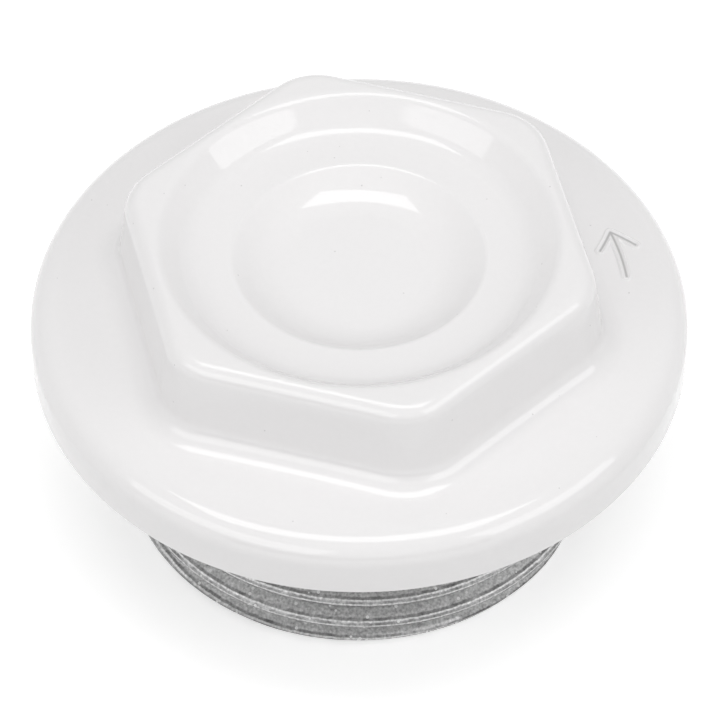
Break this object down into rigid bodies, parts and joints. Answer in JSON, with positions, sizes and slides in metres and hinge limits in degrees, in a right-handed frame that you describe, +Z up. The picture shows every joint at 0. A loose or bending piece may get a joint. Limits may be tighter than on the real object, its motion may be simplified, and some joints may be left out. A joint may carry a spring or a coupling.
{
  "type": "radiator blanking plug",
  "caption": "Blanking plug for a radiator end: dished hexagon head on a round flange, hollow threaded spigot and a flat sealing ring under the flange.",
  "frame": {"origin": "centre of the spigot's end face, where the plug stands", "axes": "+Z up the plug's axis from the spigot to the head; two corners of the hexagon lie on the X axis"},
  "size_m": [0.046, 0.046, 0.0249],
  "materials": {
    "white_enamel": "gloss enamel on steel, bare plated thread",
    "sealing_rubber": "translucent grey silicone rubber"
  },
  "bodies": {
    "root": {"plug_body": "white_enamel", "sealing_ring": "sealing_rubber"}
  },
  "joints": []
}
